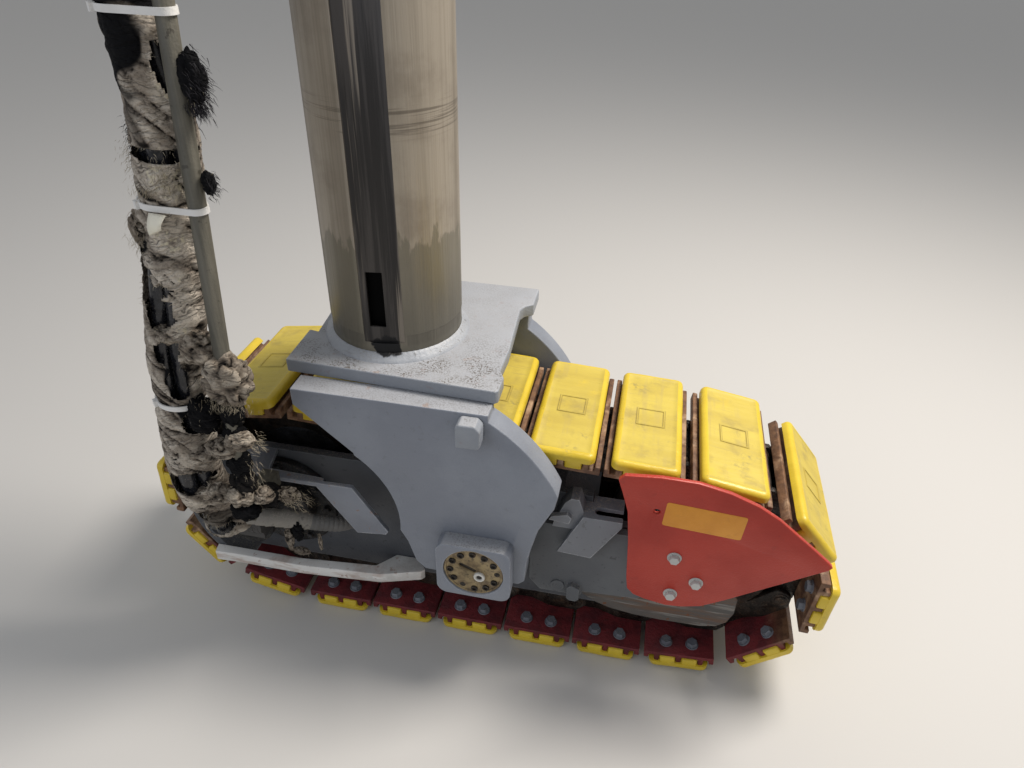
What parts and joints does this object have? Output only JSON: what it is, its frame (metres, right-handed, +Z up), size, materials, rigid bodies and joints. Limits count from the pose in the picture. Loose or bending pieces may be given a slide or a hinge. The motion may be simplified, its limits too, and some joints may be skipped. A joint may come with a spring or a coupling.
{
  "type": "crawler track unit with fork and lifting column",
  "caption": "Crawler track unit of a cold planer: padded shoes on a chain round a welded frame, carried by a fork that turns on a pivot axle and welded to a round lifting column.",
  "frame": {"origin": "on the ground, straight under the pivot axle, in the middle of the track's width", "axes": "+X along the track towards the idler wheel, +Y across the track away from the side with the axle cap, guard and hoses that the picture shows, +Z up along the lifting column"},
  "size_m": [1.2969, 0.517, 1.729],
  "materials": {
    "chain_steel": "greasy black-brown steel",
    "shoe_steel": "rusty red primer",
    "polyurethane": "satin cast polyurethane",
    "frame_paint": "dark grey paint, dusty",
    "drive_black": "black, oily",
    "fork_paint": "mid grey paint, satin",
    "bare_steel": "worn bare steel",
    "guard_red": "red paint, satin",
    "zinc": "zinc plated",
    "brass_cap": "worn and stained",
    "stay_steel": "brown rust film",
    "hose_sleeve": "torn woven sleeve",
    "hose_rubber": "ribbed rubber, dusty",
    "chrome": "polished"
  },
  "bodies": {
    "track_unit": {"track_chain": "chain_steel", "chain_bushings": "chain_steel", "idler_wheel": "chain_steel", "bottom_rollers": "chain_steel", "drive_sprocket": "chain_steel", "track_shoes": "shoe_steel", "track_pads": "polyurethane", "frame_beam": "frame_paint", "side_plate_outer": "frame_paint", "side_plate_inner": "frame_paint", "lower_rails": "frame_paint", "frame_covers": "frame_paint", "final_drive": "frame_paint", "idler_yoke": "frame_paint", "top_slide": "frame_paint", "drive_motor": "drive_black", "hose_manifold": "drive_black", "pitch_stop": "fork_paint", "hose_guard": "fork_paint", "pivot_axle": "bare_steel", "bash_plate": "bare_steel", "guard_plate": "guard_red", "guard_standoffs": "zinc", "hose_bulkhead": "zinc", "hose_stay": "stay_steel", "hose_bundle": "hose_sleeve", "ribbed_hose": "hose_rubber"},
    "fork_column": {"fork_plate_top": "fork_paint", "cheek_outer": "fork_paint", "cheek_inner": "fork_paint", "axle_flange_outer": "fork_paint", "axle_flange_inner": "fork_paint", "axle_cap_outer": "brass_cap", "axle_cap_inner": "brass_cap", "lifting_lug": "fork_paint", "column_tube": "bare_steel", "column_weld": "fork_paint", "column_gland": "brass_cap"},
    "rod": {"lift_rod": "chrome"}
  },
  "joints": [
    {"name": "track_pitch", "type": "hinge", "parent": "track_unit", "child": "fork_column", "pos_m": [0, 0, 0.284], "axis": [0, 1, 0], "range_deg": [-10, 10]},
    {"name": "rod_lift", "type": "slide", "parent": "fork_column", "child": "rod", "axis": [0, 0, 1], "range_m": [-0.08, 0.3]}
  ]
}
